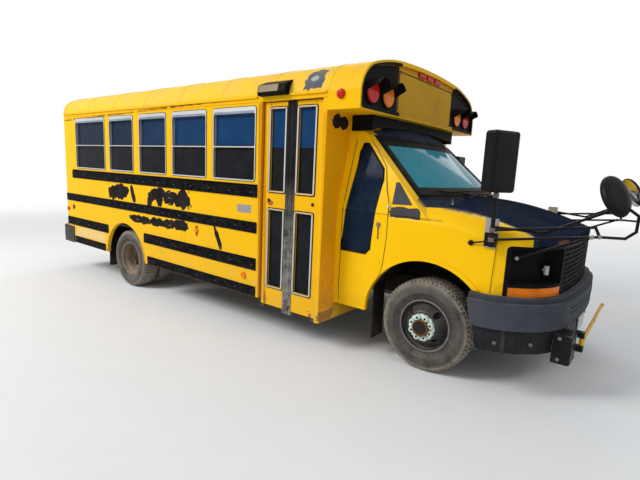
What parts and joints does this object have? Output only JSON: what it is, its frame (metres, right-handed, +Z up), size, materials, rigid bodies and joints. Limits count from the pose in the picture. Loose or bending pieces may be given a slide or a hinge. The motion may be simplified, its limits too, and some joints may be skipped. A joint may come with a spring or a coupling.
{
  "type": "short school bus",
  "caption": "Weathered yellow short school bus on a van cutaway chassis, with folding entrance door, opening hood and doors, steered front wheels and dual rear wheels.",
  "frame": {"origin": "on the ground under the middle of the bounding box", "axes": "+X forward along the bus, +Y to its left, +Z up"},
  "size_m": [7.1204, 2.534, 2.6227],
  "materials": {
    "chassis_black": "rusty satin paint",
    "engine_grey": "oily casting",
    "radiator_metal": "dusty core",
    "spring_steel": "rusty",
    "exhaust_steel": "heat stained",
    "tank_black": "dusty satin",
    "bumper_steel": "dusty scratched black",
    "bumper_plastic": "weathered dark grey",
    "rear_bumper_black": "worn gloss",
    "body_yellow": "faded gloss with rust runs",
    "roof_yellow": "faded gloss",
    "cab_yellow": "faded gloss",
    "hood_black": "overpainted satin black",
    "grille_black": "overpainted mesh",
    "lamp_black": "satin black",
    "liner_black": "dusty",
    "lens_red": "clear red",
    "lens_amber": "clear amber",
    "lens_clear": "hazed clear",
    "sign_yellow": "blank panel",
    "floor_rubber": "ribbed black over steel",
    "rail_black": "chalky black",
    "window_aluminium": "dull mill finish",
    "leaf_yellow": "faded paint with black rubber",
    "glass_tinted": "dusty tinted",
    "glass_clear": "dusty green tint",
    "seat_vinyl": "creased dark green vinyl",
    "seat_steel": "black",
    "dash_plastic": "grained grey",
    "mirror_black": "black with bare rusty patches",
    "mirror_face": "dusty",
    "flap_rubber": "mud splashed",
    "stop_red": "blank red with white edge",
    "arm_yellow": "scuffed",
    "tyre_rubber": "dusty",
    "rim_black": "dusty black, rusty hub",
    "rim_tan": "road dust over white"
  },
  "bodies": {
    "chassis": {"chassis_frame": "chassis_black", "engine": "engine_grey", "radiator": "radiator_metal", "front_suspension": "chassis_black", "rear_axle": "chassis_black", "rear_springs": "spring_steel", "exhaust": "exhaust_steel", "fuel_tank": "tank_black", "front_bumper": "bumper_steel", "bumper_pad": "bumper_plastic", "rear_bumper": "rear_bumper_black", "cab_shell": "cab_yellow", "cab_glass": "glass_clear", "front_fenders": "cab_yellow", "wheel_liners": "liner_black", "grille": "grille_black", "headlamp_buckets": "lamp_black", "clear_lamps": "lens_clear", "amber_lamps": "lens_amber", "red_lamps": "lens_red", "side_wall_left": "body_yellow", "side_wall_right": "body_yellow", "roof": "roof_yellow", "rear_wall": "body_yellow", "front_wall": "body_yellow", "front_cap": "body_yellow", "floor": "floor_rubber", "rub_rails": "rail_black", "window_frames": "window_aluminium", "window_glass": "glass_tinted", "seat_pads": "seat_vinyl", "seat_stands": "seat_steel", "dashboard": "dash_plastic", "lamp_housings": "lamp_black", "sign_panels": "sign_yellow", "mirror_frames": "mirror_black", "mirror_glass": "mirror_face", "mud_flaps": "flap_rubber"},
    "hood": {"hood": "hood_black"},
    "driver_door": {"driver_door": "cab_yellow", "driver_door_glass": "glass_clear", "driver_mirror": "mirror_black"},
    "rear_door": {"rear_door": "body_yellow", "rear_door_glass": "glass_tinted"},
    "entrance_front": {"entrance_leaf_front": "leaf_yellow", "entrance_glass_front": "glass_tinted"},
    "entrance_rear": {"entrance_leaf_rear": "leaf_yellow", "entrance_glass_rear": "glass_tinted"},
    "stop_arm": {"stop_arm": "stop_red"},
    "crossing_arm": {"crossing_arm": "arm_yellow"},
    "knuckle_left": {"knuckle_left": "chassis_black"},
    "knuckle_right": {"knuckle_right": "chassis_black"},
    "front_wheel_left": {"front_tyre_left": "tyre_rubber", "front_rim_left": "rim_black"},
    "front_wheel_right": {"front_tyre_right": "tyre_rubber", "front_rim_right": "rim_black"},
    "rear_wheels_left": {"rear_tyres_left": "tyre_rubber", "rear_rims_left": "rim_tan"},
    "rear_wheels_right": {"rear_tyres_right": "tyre_rubber", "rear_rims_right": "rim_tan"}
  },
  "joints": [
    {"name": "steer_left", "type": "hinge", "parent": "chassis", "child": "knuckle_left", "pos_m": [2.29003, 0.78, 0.367], "axis": [0, 0, 1], "range_deg": [-32, 32]},
    {"name": "steer_right", "type": "hinge", "parent": "chassis", "child": "knuckle_right", "pos_m": [2.29003, -0.78, 0.367], "axis": [0, 0, 1], "range_deg": [-32, 32]},
    {"name": "spin_front_left", "type": "hinge", "parent": "knuckle_left", "child": "front_wheel_left", "pos_m": [2.29003, 0.856, 0.367], "axis": [0, 1, 0], "continuous": true},
    {"name": "spin_front_right", "type": "hinge", "parent": "knuckle_right", "child": "front_wheel_right", "pos_m": [2.29003, -0.856, 0.367], "axis": [0, 1, 0], "continuous": true},
    {"name": "spin_rear_left", "type": "hinge", "parent": "chassis", "child": "rear_wheels_left", "pos_m": [-1.74897, 1.048, 0.367], "axis": [0, 1, 0], "continuous": true},
    {"name": "spin_rear_right", "type": "hinge", "parent": "chassis", "child": "rear_wheels_right", "pos_m": [-1.74897, -1.048, 0.367], "axis": [0, 1, 0], "continuous": true},
    {"name": "hood_hinge", "type": "hinge", "parent": "chassis", "child": "hood", "pos_m": [2.33333, 0, 1.35525], "axis": [0, -1, 0], "range_deg": [0, 50]},
    {"name": "driver_door_hinge", "type": "hinge", "parent": "chassis", "child": "driver_door", "pos_m": [1.9554, 1.008, 1.10809], "axis": [-0.0236, 0, -0.9997], "range_deg": [0, 70]},
    {"name": "rear_door_hinge", "type": "hinge", "parent": "chassis", "child": "rear_door", "pos_m": [-3.45439, -0.434, 1.43563], "axis": [0.0236, 0, 0.9997], "range_deg": [0, 110]},
    {"name": "entrance_front_hinge", "type": "hinge", "parent": "chassis", "child": "entrance_front", "pos_m": [1.38391, -1.16, 1.22158], "axis": [0.0236, 0, 0.9997], "range_deg": [0, 90]},
    {"name": "entrance_rear_hinge", "type": "hinge", "parent": "chassis", "child": "entrance_rear", "pos_m": [0.76209, -1.16, 1.23624], "axis": [0.0236, 0, 0.9997], "range_deg": [-90, 0]},
    {"name": "stop_arm_hinge", "type": "hinge", "parent": "chassis", "child": "stop_arm", "pos_m": [1.29805, 1.241, 1.14359], "axis": [-0.0236, 0, -0.9997], "range_deg": [0, 90]},
    {"name": "crossing_arm_hinge", "type": "hinge", "parent": "chassis", "child": "crossing_arm", "pos_m": [3.30947, -0.55, 0.416], "axis": [-0.0236, 0, -0.9997], "range_deg": [0, 90]}
  ],
  "couplings": [
    {"joint": "steer_right", "follows": "steer_left", "ratio": 1},
    {"joint": "entrance_rear_hinge", "follows": "entrance_front_hinge", "ratio": -1}
  ]
}
